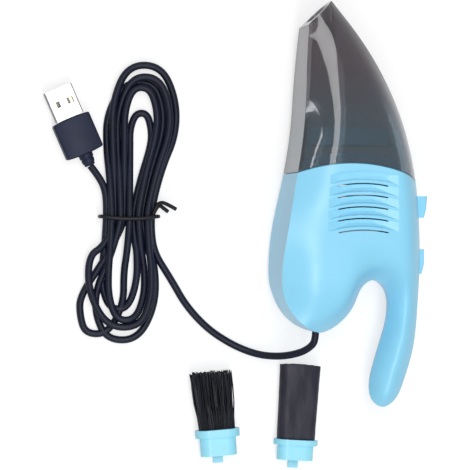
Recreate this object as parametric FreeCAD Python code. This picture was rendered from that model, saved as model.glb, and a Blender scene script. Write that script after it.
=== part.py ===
import FreeCAD, Part
import math
import os
from FreeCAD import Vector

# Desktop mini vacuum cleaner, lying on its flat side. Millimetres, +Z up, +Y towards the nozzle's mouth.
# The origin is on the flat underside, below the motor's axis, which runs along Y at the height midZ.

# ---- casing and cup ----
midZ = 20.0            # height of the plane where the casing halves meet
padRise = 0.2          # the flat rest pad stands this far out of the underside
padBox = (-5, 7, -6, 9)
wall = 2.0             # wall of the casing and of the clear cup
seamGap = 0.3          # gap between the cup and the casing at their joint
fitGap = 0.35          # clearance of what moves inside or through a wall
edgeRadius = 9.0       # the rounding along the back, the handle and the finger gap is this wide
edgeFromX = -12.0      # at the bottom of the body the rounding fades in from here,
edgeFade = 12.0        # over this width, away from the belly wall
shoulderRun = 15.0     # the faces rise to their flat over this distance from the belly wall
lipDrop = 1.0          # the upper half rests on the belly wall, this far under the wall's top edge

# The side outline is one smooth curve through the belly, the finger gap with the handle's inside, and the back.
bellyPoints = [(-8.8, 106), (-9.8, 96.8), (-11.6, 73), (-12.8, 54), (-15.5, 35.7), (-18.9, 18.2), (-21.6, 0),
               (-21.3, -12.5), (-17.0, -21.9), (-10.6, -27.6), (-3.5, -29.8)]
gapPoints = [(4.8, -25.8), (10.5, -18.2), (13.6, -10.9), (18.4, -8.4), (23.4, -11.2),
             (25.2, -18.4), (22.7, -31.2), (18.5, -45.1), (17.3, -52.6)]
backPoints = [(18.4, -57.4), (22.6, -60.6), (27.3, -58.4), (31.5, -50.5), (35.4, -37.5),
              (37.3, -19.2), (37.1, 6.7), (35.4, 30.9), (31.1, 51.7), (23.8, 70.9), (12.4, 90.5),
              (0.4, 105.8), (-3.9, 111.1)]

# Half thicknesses along Y, from the mouth down: the belly wall, the body's face, the handle's face.
wallHalf = [(104, 9.6), (60, 13.8), (36, 14.7), (12, 17.6), (-6, 14.6), (-20, 10.2), (-40, 9.0)]
faceHalf = midZ - padRise
bodyHalf = [(106, 11.0), (45, faceHalf), (-6, faceHalf), (-32, 11.0)]
gripHalf = [(106, 11.0), (45, faceHalf), (10, faceHalf), (-22, 9.6), (-60, 8.6)]
edgeShare = [(100, 0.60), (40, 0.64), (-4, 0.66), (-30, 0.85)]    # how much of it the rounding takes away
gripFromX = 6.0        # the face begins to fall from the body's to the handle's thickness here
gripRun = 14.0

# The seam between the casing and the cup is an arc in side view; the mouth is a slanted plane.
seamPoints = [(-15.5, 35.2), (4.5, 38.9), (37.3, 30.7)]
mouthLow = (-9.9, 95.4)
mouthHigh = (0.9, 105.8)
spigotRise = 4.0       # the casing's spigot stands this far past the seam, inside the cup
spigotWall = 1.4

# ---- vents, one louvre per lip ----
lipPeaks = [32.0, 27.3, 22.6, 17.9, 13.2]
ventX = 10.4
ventHalfWidth = 14.6
ventRadius = 51.5      # radius of a lip's arc
ventDepth = 1.5
lipWidth = 1.0
slitWidth = 0.5
slitHalfAngle = 11.8
topScoopRise = 4.2     # the first louvre's ramp starts this far above its lip
rampShape = [(-0.02, -0.1), (0.2, 0.5), (0.5, 0.88), (1, 0.96)]    # a ramp's depth along its rise, as shares
firstRampShape = [(-0.02, -0.1), (0.2, 0.4), (0.5, 0.6), (0.8, 0.35), (1.05, -0.1)]

# ---- suction tools and their socket ----
plugWidth = 15.2
plugThick = 8.0
plugLength = 7.6
socketGap = 0.3
socketWall = 0.8
socketTurn = 14.5      # the socket's turn from +Y, in degrees
socketLength = 11.6    # from the middle of the mouth to the socket's inner end
mouthPlate = 1.4

# ---- loose tools ----
flangeWidth = 18.5
flangeHigh = 11.0
brushFlange = 3.2
brushTab = 3.3
flatFlange = 2.3
flatPlugLength = 6.2
flatTab = 3.5
tabWidth = 4.1
tabThick = 1.6
toolBoreWidth = 12.0
toolBoreHigh = 5.0
bristleLength = 23.5
bristleLean = -1.1      # the fan's end stands this far to one side
bristleRound = 2.0
rubberLength = 30.8
rubberWall = 1.2

# ---- motor and fan ----
motorRadius = 10.0
motorFront = 10.0      # the can's front face
motorLength = 23.5
endCapLength = 3.5
shaftRadius = 1.0
mountThick = 2.0
fanRadius = 14.5
fanLength = 9.0
fanStart = 15.0
bladeCount = 12
shroudStart = 26.0
shroudThick = 1.8
eyeRadius = 8.0

# ---- filter ----
filterStart = 46.5
filterRim = 6.9
filterPeak = 64.0
filterWall = 1.4
filterGap = 2.2        # room round the filter's rim, so that it lifts clear inside the tapering cup
filterCentreX = 9.4

# ---- buttons ----
releaseTravel = 2.2
releaseSpan = (17.1, 25.9)
releaseProud = 40.7
releaseHigh = 11.0
backRoom = 0.9         # room between the casing's wall and the flanges behind it
armDepth = 3.3         # from the outer side of the button's flange to the inner side of its arm
flangeRim = 1.3        # the button's flange stands out this far all round, behind the casing's wall
flangeThick = 1.5
springBow = 1.4
springHalf = 3.9
springThick = 0.4
springHigh = 5.0
sliderTravel = 4.0
sliderSpan = (-5.9, 4.2)
sliderProud = 39.7
sliderHigh = 8.0
sliderRim = 1.2        # the slider's plate stands out this far above and below its knob
switchDeep = 7.1

# ---- screws ----
screwPlaces = [(-13.2, -17.0), (18.2, 0.2), (30.0, 12.6), (27.9, -37.0)]
bossRadius = 2.8
pilotRadius = 1.0
screwHeadRadius = 2.0
screwLength = 6.0      # above the mid-plane

# ---- cord, plug ----
cordRadius = 1.5
gland = (-5.1, -29.9)
glandRadius = 2.6
cordRoute = [(-5.1, -29.4, 20), (-5.2, -33.6, 19.8), (-7.0, -37.0, 18.6), (-10.4, -39.4, 16.2),
             (-14.9, -40.8, 13.2), (-20.4, -41.0, 9.6), (-26.4, -40.0, 6.2), (-32.6, -37.6, 3.4),
             (-39.0, -33.8, 1.9), (-45.6, -29.2, 1.5), (-51.7, -23.9, 1.6), (-56.9, -17.4, 1.5),
             (-60.8, -10.6, 1.6), (-64.5, -4.6, 1.7), (-68.2, 1.2, 1.6)]
tailRoute = [(-88.4, 23.6, 4.3), (-89.7, 28.6, 4.4), (-92.0, 33.4, 4.2), (-95.9, 38.4, 4.0)]
hankHeight = 8.0
hankOuter = [(-90, 18), (-88, 28), (-89, 39), (-90, 51), (-87, 66), (-80, 78), (-73, 82), (-66, 79),
             (-60, 71), (-59, 58), (-61, 43), (-65, 31), (-69, 18), (-68, 1), (-67, -12), (-71, -25),
             (-79, -34), (-89, -35), (-99, -30), (-101.5, -20), (-97, -5), (-93, 8)]
hankOpenings = [[(-75, 69), (-71, 61), (-72, 49), (-76, 37), (-78, 51), (-77, 63)],
                [(-79, 7), (-75.5, -7), (-76, -18), (-82, -22), (-86.5, -17), (-85, -7)]]
tieY = 17.8
tieRadius = 0.9
plugBase = (-95.9, 38.4)
plugTurn = 23.5        # the plug's turn from +Y, in degrees
plugHeight = 4.0
shellWidth = 12.0
shellHigh = 4.5
shellWall = 0.35
shellLength = 13.0
gripStart = 5.0
gripLength = 16.2
gripWidth = 16.0
gripHigh = 8.0

# ---- places of the loose tools ----
brushPlace = (-43.5, -70.0, 4.1)     # x, y of the flange's front face, and the turn in degrees
flatPlace = (-10.4, -74.7, -3.7)


def smooth(t):
    """0 to 1 with level ends."""
    t = max(0.0, min(1.0, t))
    return t * t * (3 - 2 * t)


def along(table, y):
    """The value at y in a list of (y, value) that runs from high y to low."""
    if y >= table[0][0]:
        return table[0][1]
    for (high, a), (low, b) in zip(table, table[1:]):
        if y >= low:
            return b + (a - b) * smooth((y - low) / (high - low))
    return table[-1][1]


def curve(points):
    c = Part.BSplineCurve()
    c.interpolate(Points=[Vector(x, y, 0) for x, y in points])
    return c


def loop(points):
    c = Part.BSplineCurve()
    c.interpolate(Points=[Vector(x, y, 0) for x, y in points], PeriodicFlag=True)
    return Part.Wire([c.toShape()])


def block(x0, x1, y0, y1, z0, z1):
    return Part.makeBox(x1 - x0, y1 - y0, z1 - z0, Vector(x0, y0, z0))


def slab(y0, y1):
    return block(-60, 60, y0, y1, -5, 60)


def rod(radius, start, end):
    a, b = Vector(*start), Vector(*end)
    return Part.makeCylinder(radius, (b - a).Length, a, b - a)


def ovalBar(wide, high, y0, y1, x=0.0, z=0.0):
    """A bar along Y whose section has a width along X, a height along Z and fully rounded narrow ends."""
    small = min(wide, high) / 2
    if wide > high:
        ends = [(x - wide / 2 + small, z), (x + wide / 2 - small, z)]
        middle = block(ends[0][0], ends[1][0], y0, y1, z - high / 2, z + high / 2)
    else:
        ends = [(x, z - high / 2 + small), (x, z + high / 2 - small)]
        middle = block(x - wide / 2, x + wide / 2, y0, y1, ends[0][1], ends[1][1])
    for ex, ez in ends:
        middle = middle.fuse(rod(small, (ex, y0, ez), (ex, y1, ez)))
    return middle.removeSplitter()


# ---- the body's form ----

def outline(inset):
    """The side outline with every point moved in by the inset, and the face that it closes."""
    points = bellyPoints + gapPoints + backPoints
    run = curve(points)
    if inset:
        run = movedIn(run, points, inset)
    top = Part.makeLine(run.EndPoint, run.StartPoint)
    return run, Part.Face(Part.Wire([run.toShape(), top]))


def movedIn(run, points, inset):
    turns = [run.tangent(run.parameter(Vector(x, y, 0)))[0] for x, y in points]
    return curve([(x - inset * t.y, y + inset * t.x) for (x, y), t in zip(points, turns)])


def cupOutline(inset):
    """The outline's two sides round the seam and the filter only, moved in, as a closed face."""
    belly = [p for p in bellyPoints if 15 < p[1] < 80]
    back = [p for p in backPoints if 0 < p[1] < 80]
    left, right = [movedIn(curve(points), points, inset) for points in (belly, back)]
    edges = [left.toShape(), Part.makeLine(left.EndPoint, right.StartPoint), right.toShape(),
             Part.makeLine(right.EndPoint, left.StartPoint)]
    return Part.Face(Part.Wire(edges))


sideCurve, outlineFace = outline(0)
bellyEnd = sideCurve.parameter(Vector(*bellyPoints[-1], 0))
tipAt = sideCurve.parameter(Vector(*backPoints[1], 0))
roundedEdge = sideCurve.toShape(bellyEnd, sideCurve.LastParameter)

gridX = [-30 + 2.5 * i for i in range(31)]
gridY = [124 - 3.0 * i for i in range(66)]


def crossing(run, above, below, y):
    """x of a run at y, between a parameter where the run lies above y and one where it lies below."""
    for _ in range(30):
        mid = (above + below) / 2
        if run.value(mid).y > y:
            above = mid
        else:
            below = mid
    return run.value(above).x


def bellyAt(y):
    """x of the belly wall at y. Below the widest part the shoulder goes straight on down."""
    return crossing(sideCurve, sideCurve.FirstParameter, bellyEnd, max(-12.0, min(98.0, y)))


def behindWall(y):
    """x just inside the casing's back wall at y, with the room that a flange there has."""
    return crossing(sideCurve, sideCurve.LastParameter, tipAt, y) - wall - backRoom


def edgeDistances():
    """For each grid point, its distance from the belly wall and from the rounded edge, negative outside."""
    rim = [p for edge in outlineFace.OuterWire.OrderedEdges for p in edge.discretize(80)]

    def isInside(x, y):
        hits = [a.x + (y - a.y) * (b.x - a.x) / (b.y - a.y) > x
                for a, b in zip(rim, rim[1:] + rim[:1]) if (a.y > y) != (b.y > y)]
        return sum(hits) % 2 == 1
    found = {}
    for y in gridY:
        wallX = bellyAt(y)
        for x in gridX:
            away = Part.Vertex(Vector(x, y, 0)).distToShape(roundedEdge)[0]
            found[x, y] = (x - wallX, away if isInside(x, y) else -away)
    return found


distances = edgeDistances()


def halfHeight(x, y, inset):
    """Half the body's thickness at a point: up the shoulder, along the flat, and round down at the back."""
    fromBelly, fromEdge = distances[x, y]
    body, grip = along(bodyHalf, y), along(gripHalf, y)
    top = body + (grip - body) * smooth((x - gripFromX) / gripRun) - inset
    side = along(wallHalf, y) - inset
    up = max(-0.5, min(1.0, (fromBelly - inset) / shoulderRun))
    up = math.sin(up * math.pi / 2) if up > 0 else up * 1.4
    height = side + (top - side) * up
    near = min(1.0, max(-0.4, (fromEdge - inset) / edgeRadius))
    return height * (1 - along(edgeShare, y) * smooth((x - edgeFromX) / edgeFade) * (1 - near) ** 2)


def faceAbove(inset):
    """Everything above the body's upper face, as a solid."""
    poles = [[Vector(x, y, midZ + halfHeight(x, y, inset)) for x in gridX] for y in gridY]
    rows, columns = len(gridY), len(gridX)
    face = Part.BSplineSurface()
    face.buildFromPolesMultsKnots(
        poles, [4] + [1] * (rows - 4) + [4], [4] + [1] * (columns - 4) + [4],
        [float(i) for i in range(rows - 2)], [float(i) for i in range(columns - 2)], False, False, 3, 3)
    return face.toShape().extrude(Vector(0, 0, 60))


def halfForm(inset, face=None):
    """The upper half of the body, casing and cup in one, with every wall moved in by the inset."""
    prism = (face or outline(inset)[1]).extrude(Vector(0, 0, 2 * midZ))
    prism.translate(Vector(0, 0, midZ))
    return prism.cut(faceAbove(inset))


def mirrored(shape):
    return shape.mirror(Vector(0, 0, midZ), Vector(0, 0, 1))


def whole(half):
    return half.fuse(mirrored(half))


def pastSeam(shift):
    """All that lies beyond the seam's arc, moved along Y."""
    a, b, c = [Vector(x, y + shift, -10) for x, y in seamPoints]
    arc = Part.Arc(a, b, c).toShape()
    corners = [c, Vector(60, c.y - 8, -10), Vector(60, 140, -10), Vector(-60, 140, -10), Vector(-60, a.y, -10), a]
    sides = [Part.makeLine(p, q) for p, q in zip(corners, corners[1:])]
    return Part.Face(Part.Wire([arc] + sides)).extrude(Vector(0, 0, 70))


def pastMouth(shift):
    """All that lies beyond the slanted mouth plane, moved along the mouth's own normal."""
    low, high = Vector(*mouthLow, -10), Vector(*mouthHigh, -10)
    run = (high - low).normalize()
    out = Vector(-run.y, run.x, 0)
    low, high = low - run * 40 + out * shift, high + run * 40 + out * shift
    face = Part.Face(Part.makePolygon([low, high, high + out * 60, low + out * 60, low]))
    return face.extrude(Vector(0, 0, 70))


# ---- casing ----

def louvres():
    """The cutters of the five vents on the upper face, as recesses with a lip and a slit each."""
    taper = (ventHalfWidth ** 2 + ventDepth ** 2) / (2 * ventDepth)
    top = midZ + faceHalf
    shallow = rod(taper, (ventX, -20, top + taper - ventDepth), (ventX, 60, top + taper - ventDepth))
    recesses, slits = [], []
    pitch = lipPeaks[0] - lipPeaks[1]
    for i, peak in enumerate(lipPeaks):
        centreY = peak - ventRadius
        rise = pitch - lipWidth if i else topScoopRise
        hollow = rampShape if i else firstRampShape
        ramp = [(ventRadius + rise * far, top - ventDepth * deep) for far, deep in hollow]
        ramp += [(ramp[-1][0], top + 1), (ramp[0][0], top + 1)]
        ring = Part.Face(Part.makePolygon([Vector(0, r, z) for r, z in ramp + ramp[:1]]))
        turn = math.degrees(math.atan2(ventHalfWidth, ventRadius)) + 2
        ring.rotate(Vector(0, 0, 0), Vector(0, 0, 1), -turn)
        sweep = ring.revolve(Vector(0, 0, 0), Vector(0, 0, 1), 2 * turn)
        sweep.translate(Vector(ventX, centreY, 0))
        recesses.append(sweep)
        outer = ventRadius - lipWidth
        slit = Part.makeCylinder(outer, 7, Vector(0, 0, top - 6)).cut(
            Part.makeCylinder(outer - slitWidth, 9, Vector(0, 0, top - 7)))
        reach = outer * math.sin(math.radians(slitHalfAngle))
        slit = slit.common(block(-reach, reach, 0, 80, top - 6, top + 1))
        slit.translate(Vector(ventX, centreY, 0))
        slits.append(slit)
    recess = recesses[0].fuse(recesses[1:]).common(shallow)
    return recess.fuse(slits)


def windowCutter(span, high, travel, x0, x1):
    half = high / 2 + fitGap
    return block(x0, x1, span[0] - fitGap, span[1] + travel + fitGap, midZ - half, midZ + half)


def spigot(inner):
    """The upper half of the ring that carries the cup, from the casing's wall past the seam."""
    near = slab(20, 50)
    root = inner.common(near).common(pastSeam(-2.5)).cut(pastSeam(-seamGap))
    inset = wall + fitGap
    ring = halfForm(inset, cupOutline(inset)).common(near).common(pastSeam(-2.5)).cut(pastSeam(spigotRise))
    inset = wall + fitGap + spigotWall
    ring = ring.fuse(root).cut(halfForm(inset, cupOutline(inset)).common(slab(17, 55)))
    return ring.cut(block(28, 45, 20, 50, midZ - 5.5, midZ + 5.5))


def bellyLip(outer):
    """The part of the belly wall above the mid-plane, which belongs to the lower half."""
    corner = gland[0] - glandRadius - 2
    side = Part.Face(Part.makePolygon([Vector(x, y, midZ) for x, y in [
        (-40, 45), (-40, -40), (corner, -40), (corner, -20), (-12, -14), (-8, 45), (-40, 45)]]))
    core = outline(wall)[1].extrude(Vector(0, 0, midZ + 1))
    band = outer.translated(Vector(0, 0, -lipDrop)).common(side.extrude(Vector(0, 0, midZ)))
    return band.cut(core.translated(Vector(0, 0, midZ - 0.5))).cut(pastSeam(-seamGap / 2))


def casing(outer, inner):
    """The two casing halves: the lower one carries the belly wall, the upper one rests on it."""
    half = outer.cut(pastSeam(-seamGap / 2)).cut(inner).fuse(spigot(inner))
    half = half.cut(windowCutter(releaseSpan, releaseHigh, 0, 30, 50))
    half = half.cut(windowCutter(sliderSpan, sliderHigh, sliderTravel, 30, 50))
    half = half.cut(rod(glandRadius, (gland[0], gland[1] - 3, midZ), (gland[0], gland[1] + 6, midZ)))
    half = half.cut(louvres())
    lip = bellyLip(outer)
    upper = half.cut(lip)
    lower = mirrored(half).fuse(lip)
    for x, y in screwPlaces:
        boss = inner.common(rod(bossRadius, (x, y, midZ + 0.1), (x, y, 2 * midZ)))
        upper = upper.fuse(boss).cut(rod(pilotRadius, (x, y, midZ - 1), (x, y, midZ + screwLength)))
        lower = lower.fuse(mirrored(boss)).cut(rod(pilotRadius + 0.3, (x, y, -5), (x, y, midZ + 1)))
        lower = lower.cut(rod(screwHeadRadius + 0.4, (x, y, -5), (x, y, midZ - 4)))
    x0, x1, y0, y1 = padBox
    pad = block(x0, x1, y0, y1, 0, padRise + 0.6)
    pad = pad.makeFillet(3.0, [e for e in pad.Edges if e.BoundBox.ZLength > 0.5])
    return biggest(upper), biggest(lower.fuse(pad))


def biggest(shape):
    """The one solid, without slivers that a cut leaves loose."""
    return max(shape.Solids, key=lambda s: s.Volume)


def dustCup(outer, inner):
    """The clear cup: a shell with a slanted mouth, a mouth plate, and the socket for the tools."""
    half = outer.common(pastSeam(seamGap / 2)).cut(pastMouth(0))
    cup = whole(half.cut(inner.cut(pastMouth(-mouthPlate))))
    middle = [(a + b) / 2 for a, b in zip(mouthLow, mouthHigh)]
    bore = ovalBar(plugThick + 2 * socketGap, plugWidth + 2 * socketGap, -socketLength - 1, 20)
    sleeve = ovalBar(plugThick + 2 * (socketGap + socketWall), plugWidth + 2 * (socketGap + socketWall),
                     -socketLength, 20)
    bore, sleeve = [laid(shape, (*middle, socketTurn), midZ) for shape in (bore, sleeve)]
    cup = cup.fuse(sleeve.cut(pastMouth(-mouthPlate / 2))).cut(bore)
    base = behindWall(releaseSpan[1] + flangeRim)
    catch = block(base - 3, base, 34.6, 37.6, midZ - 4.5, midZ + 4.5)
    return biggest(cup.cut(catch))


# ---- fan and motor ----

def disc(radius, y0, y1):
    return rod(radius, (0, y0, midZ), (0, y1, midZ))


def motorCan():
    return disc(motorRadius, motorFront - motorLength, motorFront).cut(disc(shaftRadius + 2, 0, motorFront + 1)).fuse(
        disc(motorRadius - 1, motorFront - motorLength, motorFront - 1.5)).cut(
        disc(shaftRadius + 0.05, -60, 60)).removeSplitter()


def motorEndCap():
    back = motorFront - motorLength
    cap = disc(motorRadius - 1, back - endCapLength, back).cut(disc(shaftRadius + 0.05, -60, 60))
    return cap.fuse(disc(3.0, back - endCapLength - 1, back - endCapLength))


def motorTerminals():
    back = motorFront - motorLength - endCapLength
    tab = block(-0.3, 0.3, back - 2.6, back, midZ - 1.2, midZ + 1.2)
    return Part.makeCompound([tab.translated(Vector(side * 6, 0, 0)) for side in (-1, 1)])


def motorShaft():
    return disc(shaftRadius, motorFront - motorLength + 1, fanStart + fanLength - 1)


def motorMount(inner):
    plate = inner.common(slab(motorFront, motorFront + mountThick)).common(block(-60, 17, -60, 60, 0, 60))
    plate = whole(plate)
    plate = plate.cut(disc(3.4, 0, 60))
    for side in (-1, 1):
        plate = plate.cut(rod(0.9, (side * 6.5, 0, midZ), (side * 6.5, 40, midZ)))
        plate = plate.cut(block(side * 12.5 - 2, side * 12.5 + 2, 0, 60, midZ - 12, midZ + 12))
    return plate


def motorScrews():
    face = motorFront + mountThick
    screws = []
    for side in (-1, 1):
        head = rod(1.6, (side * 6.5, face, midZ), (side * 6.5, face + 1.0, midZ))
        screws.append(head.fuse(rod(0.85, (side * 6.5, motorFront, midZ), (side * 6.5, face + 0.5, midZ))))
    return Part.makeCompound(screws)


def impeller():
    """A back plate, a hub and curved blades, pressed on the shaft."""
    wheel = disc(fanRadius, fanStart, fanStart + 1.2).fuse(disc(3.0, fanStart, fanStart + fanLength - 1))
    for i in range(bladeCount):
        arc = Part.makeCylinder(9.0, fanLength - 1.0, Vector(7.6, 0, 0)).cut(
            Part.makeCylinder(8.3, fanLength, Vector(7.6, 0, -0.5)))
        blade = arc.common(Part.makeBox(20, 20, fanLength, Vector(-2, 0.2, 0)))
        blade = blade.common(Part.makeCylinder(fanRadius, fanLength).cut(Part.makeCylinder(5.0, fanLength)))
        blade.rotate(Vector(0, 0, 0), Vector(0, 0, 1), i * 360.0 / bladeCount)
        blade.rotate(Vector(0, 0, 0), Vector(1, 0, 0), -90)
        blade.translate(Vector(0, fanStart + 1.0, midZ))
        wheel = wheel.fuse(blade)
    return wheel.cut(disc(shaftRadius, 0, 60))


def fanShroud(inner):
    plate = whole(inner.common(slab(shroudStart, shroudStart + shroudThick)))
    notchX = behindWall(releaseSpan[1] + flangeRim) - armDepth - releaseTravel - 2 * fitGap
    notchHalf = releaseHigh / 2 + flangeRim + 2 * fitGap
    plate = plate.cut(disc(eyeRadius, 0, 60)).cut(block(notchX, 50, 0, 60, midZ - notchHalf, midZ + notchHalf))
    lip = disc(eyeRadius + 1.2, shroudStart + shroudThick, shroudStart + shroudThick + 1.4)
    return plate.fuse(lip.cut(disc(eyeRadius, 0, 60)))


# ---- filter ----

def filterFrame():
    """A rim that follows the cup's inside, with a cross of ribs that carries the cloth."""
    inset = wall + filterGap
    room = halfForm(inset, cupOutline(inset)).common(slab(filterStart, filterStart + filterRim))
    inset = wall + filterGap + filterWall
    edge = halfForm(inset, cupOutline(inset)).common(slab(filterStart - 1, filterStart + filterRim + 1))
    rim = whole(room.cut(edge))
    room = whole(room)
    ribs = block(-60, 60, filterStart, filterStart + 1.6, midZ - 0.8, midZ + 0.8).fuse(
        block(filterCentreX - 0.8, filterCentreX + 0.8, filterStart, filterStart + 1.6, 0, 60))
    return rim.fuse(ribs.common(room)).removeSplitter()


def filterCloth():
    """A peaked cloth bag that stands on the frame, as one solid."""
    base = filterStart + filterRim

    def ring(wide, high, y):
        points = [Vector(filterCentreX + wide * math.cos(a), y, midZ + high * math.sin(a))
                  for a in [math.pi / 4 * i for i in range(8)]]
        c = Part.BSplineCurve()
        c.interpolate(Points=points, PeriodicFlag=True)
        return Part.Wire([c.toShape()])
    return Part.makeLoft([ring(13.0, 9.0, base + 0.05), ring(11.5, 8.0, base + 3), ring(5.0, 3.6, base + 8),
                          ring(1.6, 1.2, filterPeak)], True)


# ---- buttons and switch ----

def releaseButton():
    """The cap, its flange behind the wall, and the arm with the latch nose by the cup."""
    y0, y1 = releaseSpan
    half = releaseHigh / 2
    base = behindWall(y1 + flangeRim)
    armInner, low = base - armDepth, base - flangeThick
    side = [(low, y0), (releaseProud - 1.4, y0), (releaseProud - 0.5, y0 + 3.4), (releaseProud, y1), (low, y1)]
    cap = Part.Face(Part.makePolygon([Vector(x, y, midZ - half) for x, y in side + side[:1]]))
    cap = cap.extrude(Vector(0, 0, releaseHigh))
    boxes = [(e, e.BoundBox) for e in cap.Edges]
    cap = cap.makeFillet(0.8, [e for e, b in boxes if b.XMin > releaseProud - 2 and b.XLength + b.YLength > 1])
    flange = block(low, base, y0 - flangeRim, y1 + flangeRim, midZ - half - flangeRim, midZ + half + flangeRim)
    arm = block(armInner, armInner + 1.4, y1 - 1.0, 37.0, midZ - 3.5, midZ + 3.5)
    nose = block(armInner, armInner + 2.4, 35.0, 37.0, midZ - 3.5, midZ + 3.5)
    link = block(armInner, low + 0.2, y1 - 3, y1, midZ - 3.5, midZ + 3.5)
    return cap.fuse([flange, link, arm, nose]).removeSplitter()


def releaseSpring():
    """A bowed leaf behind the button, in the shape it has when the button is pressed."""
    middle = (releaseSpan[0] + releaseSpan[1]) / 2
    bow = [Vector(0, -springHalf, 0), Vector(springBow, 0, 0), Vector(0, springHalf, 0)]
    back = [p - Vector(springThick, 0, 0) for p in bow]
    face = Part.Face(Part.Wire([Part.Arc(*bow).toShape(), Part.makeLine(bow[2], back[2]),
                                Part.Arc(*back[::-1]).toShape(), Part.makeLine(back[0], bow[0])]))
    leaf = face.extrude(Vector(0, 0, springHigh))
    pressed = behindWall(releaseSpan[1] + flangeRim) - armDepth - releaseTravel
    leaf.translate(Vector(pressed - fitGap - springBow, middle, midZ - springHigh / 2))
    return leaf


def powerSlider():
    y0, y1 = sliderSpan
    half = sliderHigh / 2
    base = behindWall(y0 - 1.0)
    side = [(base - 0.2, y0), (sliderProud - 1.0, y0), (sliderProud, y0 + 4.0), (sliderProud, y1), (base - 0.2, y1)]
    knob = Part.Face(Part.makePolygon([Vector(x, y, midZ - half) for x, y in side + side[:1]]))
    knob = knob.extrude(Vector(0, 0, sliderHigh))
    boxes = [(e, e.BoundBox) for e in knob.Edges]
    knob = knob.makeFillet(0.6, [e for e, b in boxes if b.XMin > sliderProud - 1.5 and b.XLength + b.YLength > 0.5])
    plateHalf = half + sliderRim
    plate = block(base - 1.4, base, y0 - 1.0, y1 + 1.0, midZ - plateHalf, midZ + plateHalf)
    fork = block(base - 3.6, base - 1.2, y0 + 3.9, y0 + 6.3, midZ - 2.0, midZ + 2.0)
    return knob.fuse([plate, fork]).removeSplitter()


def switchBody():
    """The switch's case, hollow where the slider's fork reaches in, over the whole travel."""
    y0, face = sliderSpan[0], behindWall(sliderSpan[0] - 1.0) - 3.1
    body = block(face - switchDeep, face, y0 - 0.3, y0 + 10.3 + sliderTravel, midZ - 3.6, midZ + 3.6)
    return body.cut(block(face - 1.9, face + 1, y0 + 2.7, y0 + 7.5 + sliderTravel, midZ - 2.6, midZ + 2.6))


def switchLugs():
    start = behindWall(sliderSpan[0] - 1.0) - 3.1 - switchDeep
    middle = sliderSpan[0] + 5.0 + sliderTravel / 2
    lug = block(start - 2.2, start, -0.9, 0.9, midZ - 0.25, midZ + 0.25)
    return Part.makeCompound([lug.translated(Vector(0, middle + y, 0)) for y in (-4.5, 0, 4.5)])


def tube(route, radius):
    """A round tube of straight runs joined by tangent arcs; each arc is as large as its two runs allow."""
    points = [Vector(*p) for p in route]
    edges, last, radii = [], points[0], []
    for a, b, c in zip(points, points[1:], points[2:]):
        back, on = (a - b), (c - b)
        short = min(back.Length, on.Length)
        turn = math.pi - back.getAngle(on)
        trim = 0.45 * short
        radii.append(trim / math.tan(turn / 2))
        back.normalize()
        on.normalize()
        start, end = b + back * trim, b + on * trim
        toCentre = back + on
        toCentre.normalize()
        centre = b + toCentre * (radii[-1] / math.cos(turn / 2))
        edges.append(Part.makeLine(last, start))
        edges.append(Part.Arc(start, centre - toCentre * radii[-1], end).toShape())
        last = end
    edges.append(Part.makeLine(last, points[-1]))
    path = Part.Wire(edges)
    ring = Part.Wire([Part.makeCircle(radius, points[0], points[1] - points[0])])
    solid = path.makePipeShell([ring], True, False)
    print("tube length %.1f, radii from %.1f, volume over section times length %.4f" % (
        path.Length, min(radii), solid.Volume / (math.pi * radius ** 2 * path.Length)))
    return solid


def innerWires():
    """Two insulated wires: from the gland to the motor's lug, and from the switch to the other lug."""
    first = tube([(-5.1, -24.4, midZ), (-5.1, -22.4, midZ + 1), (-6.0, -21.2, midZ + 2.4),
                  (-6.0, -19.0, midZ + 3)], 0.6)
    second = tube([(6.0, -19.4, midZ + 1.8), (5.6, -19.2, midZ + 4.6), (4.2, -18.6, midZ + 8.2),
                   (4.4, -14.6, midZ + 10.4), (4.8, -9.0, midZ + 10.8), (7.6, -2.6, midZ + 10.2),
                   (12.0, 2.0, midZ + 8.0), (16.6, 5.0, midZ + 4.8), (20.8, 5.8, midZ + 1.2)], 0.6)
    return Part.makeCompound([first, second])


def cordGrommet(outer):
    """A plug flush with the casing's tail, with a seat for the cord and a collar behind the wall."""
    ring = rod(glandRadius, (gland[0], -31, midZ), (gland[0], -26.2, midZ))
    ring = ring.common(whole(outer.common(slab(-40, -20))))
    ring = ring.cut(rod(cordRadius + 0.05, (gland[0], -31, midZ), (gland[0], gland[1] + 1.0, midZ)))
    return ring.fuse(rod(glandRadius + 1.2, (gland[0], -26.6, midZ), (gland[0], -24.8, midZ))).removeSplitter()


def casingScrews():
    screws = []
    for x, y in screwPlaces:
        head = rod(screwHeadRadius, (x, y, midZ - 5.6), (x, y, midZ - 4.0))
        stem = rod(pilotRadius, (x, y, midZ - 4.0), (x, y, midZ + screwLength - 1.0))
        cross = block(x - 1.2, x + 1.2, y - 0.2, y + 0.2, midZ - 5.6, midZ - 5.0).fuse(
            block(x - 0.2, x + 0.2, y - 1.2, y + 1.2, midZ - 5.6, midZ - 5.0))
        screws.append(head.fuse(stem).cut(cross))
    return Part.makeCompound(screws)


# ---- loose tools ----

def laid(shape, place, height):
    """A shape made along +Y about its own axis, turned and put in its place."""
    x, y, turn = place
    shape = shape.copy()
    shape.rotate(Vector(0, 0, 0), Vector(0, 0, 1), turn)
    shape.translate(Vector(x, y, height))
    return shape


def toolBase(flange, plugLong, tabLong):
    """A flange, the plug that goes into the mouth and its key tab, hollow for the air."""
    end = -flange - plugLong
    low = -plugThick / 2
    base = ovalBar(flangeWidth, flangeHigh, -flange, 0)
    base = base.fuse(ovalBar(plugWidth, plugThick, end, -flange))
    base = base.fuse(block(-tabWidth / 2, tabWidth / 2, end - tabLong, end + 1, low, low + tabThick))
    return base.cut(ovalBar(toolBoreWidth, toolBoreHigh, end - 1, 1)).removeSplitter()


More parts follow.
